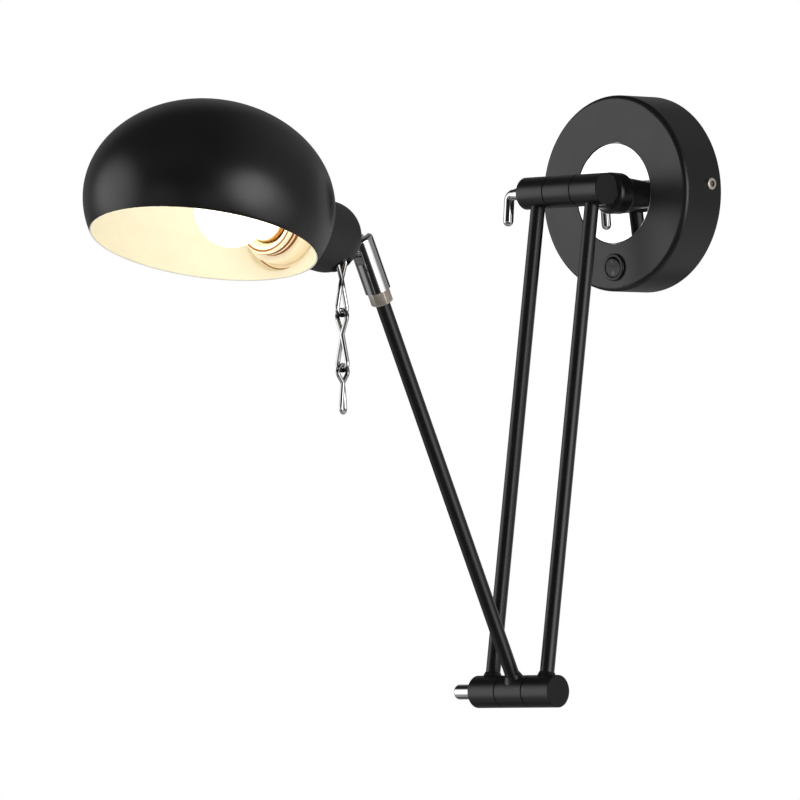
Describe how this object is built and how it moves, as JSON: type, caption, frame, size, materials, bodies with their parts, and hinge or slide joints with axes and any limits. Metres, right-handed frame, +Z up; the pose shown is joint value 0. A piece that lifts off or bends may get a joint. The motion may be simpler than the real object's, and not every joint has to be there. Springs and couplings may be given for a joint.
{
  "type": "swing arm wall lamp",
  "caption": "Wall lamp with a round canopy, twin lower arms on clamp hinges, a single fore arm, and a dome shade on a tilting head with a pull chain.",
  "frame": {"origin": "middle of the canopy's back, on the wall plane between the two bracket slots", "axes": "+Y into the wall, +Z up, +X to the right of someone who faces the wall"},
  "size_m": [0.1524, 0.4735, 0.3792],
  "materials": {
    "black_paint": "satin black",
    "chrome": "bright",
    "mirror_plate": "polished",
    "nickel": "satin nickel",
    "zinc_steel": "zinc",
    "brass": "plain",
    "black_plastic": "matt",
    "holder_plastic": "moulded",
    "terminal_plastic": "matt",
    "frosted_glass": "frosted"
  },
  "bodies": {
    "wall_base": {"wall_bracket": "zinc_steel", "earth_screw": "brass", "terminal_block": "terminal_plastic", "canopy_cover": "black_paint", "side_screws": "nickel", "mirror_disc": "mirror_plate", "disc_studs": "zinc_steel", "disc_nuts": "zinc_steel", "swivel_collar": "black_paint", "switch_body": "black_plastic", "switch_nut": "black_plastic", "switch_blades": "brass", "rocker_pin": "zinc_steel"},
    "switch_rocker": {"switch_rocker": "black_plastic"},
    "swivel_post": {"swivel_post": "black_paint", "friction_washer": "zinc_steel", "spring_washer": "zinc_steel", "stem_nut": "zinc_steel", "upper_hub": "black_paint"},
    "twin_arm": {"upper_left_knuckle": "black_paint", "upper_right_knuckle": "black_paint", "upper_clamp_bolt": "zinc_steel", "upper_washers": "black_plastic", "left_tube": "black_paint", "right_tube": "black_paint", "lower_left_knuckle": "black_paint", "lower_right_knuckle": "black_paint", "lower_clamp_bolt": "zinc_steel", "lower_washers": "black_plastic"},
    "upper_lever": {"upper_lever": "chrome"},
    "lower_knob": {"lower_knob": "chrome"},
    "fore_arm": {"lower_hub": "black_paint", "fore_tube": "black_paint", "lock_nut": "nickel"},
    "head_clevis": {"clevis": "chrome", "tilt_pin": "chrome"},
    "lamp_head": {"tongue": "nickel", "tongue_nut": "nickel", "socket_cup": "black_paint", "shade": "black_paint", "clamp_ring": "holder_plastic", "lamp_holder": "holder_plastic", "screw_shell": "brass", "centre_contact": "brass", "bulb_tip": "brass", "bulb_cap": "nickel", "bulb_globe": "frosted_glass", "pull_switch": "black_plastic", "pull_eyelet": "black_paint"},
    "pull_link": {"pull_link": "chrome", "pull_plunger": "zinc_steel"},
    "chain_link": {"chain_link": "chrome"},
    "end_link": {"end_link": "chrome"}
  },
  "joints": [
    {"name": "switch_rock", "type": "hinge", "parent": "wall_base", "child": "switch_rocker", "pos_m": [0, -0.031, -0.046], "axis": [1, 0, 0], "range_deg": [-14, 0]},
    {"name": "swivel", "type": "hinge", "parent": "wall_base", "child": "swivel_post", "pos_m": [0, 0, 0], "axis": [0, 1, 0], "range_deg": [-170, 170]},
    {"name": "shoulder", "type": "hinge", "parent": "swivel_post", "child": "twin_arm", "pos_m": [0, -0.075, 0], "axis": [-1, 0, 0], "range_deg": [-13, 100]},
    {"name": "elbow", "type": "hinge", "parent": "twin_arm", "child": "fore_arm", "pos_m": [0, -0.12381, -0.30816], "axis": [1, 0, 0], "range_deg": [-20, 125]},
    {"name": "head_turn", "type": "hinge", "parent": "fore_arm", "child": "head_clevis", "pos_m": [0, -0.2551, -0.03897], "axis": [0, -0.4384, 0.8988], "range_deg": [-120, 120]},
    {"name": "head_tilt", "type": "hinge", "parent": "head_clevis", "child": "lamp_head", "pos_m": [0, -0.2551, -0.03897], "axis": [0.9925, 0.1095, 0.0534], "range_deg": [-80, 40]},
    {"name": "upper_clamp", "type": "hinge", "parent": "twin_arm", "child": "upper_lever", "pos_m": [0, -0.075, 0], "axis": [1, 0, 0], "range_deg": [-100, 100]},
    {"name": "lower_clamp", "type": "hinge", "parent": "twin_arm", "child": "lower_knob", "pos_m": [0, -0.12381, -0.30816], "axis": [1, 0, 0], "range_deg": [-180, 180]},
    {"name": "pull", "type": "slide", "parent": "lamp_head", "child": "pull_link", "axis": [0, 0, -1], "range_m": [0, 0.006], "stiffness_N_per_m": 300, "springref_m": -0.002},
    {"name": "chain_swing", "type": "hinge", "parent": "pull_link", "child": "chain_link", "pos_m": [0.01447, -0.28846, -0.08113], "axis": [0, -1, 0], "range_deg": [-25, 25]},
    {"name": "end_swing", "type": "hinge", "parent": "chain_link", "child": "end_link", "pos_m": [0.01447, -0.28846, -0.11423], "axis": [1, 0, 0], "range_deg": [-25, 25]}
  ]
}
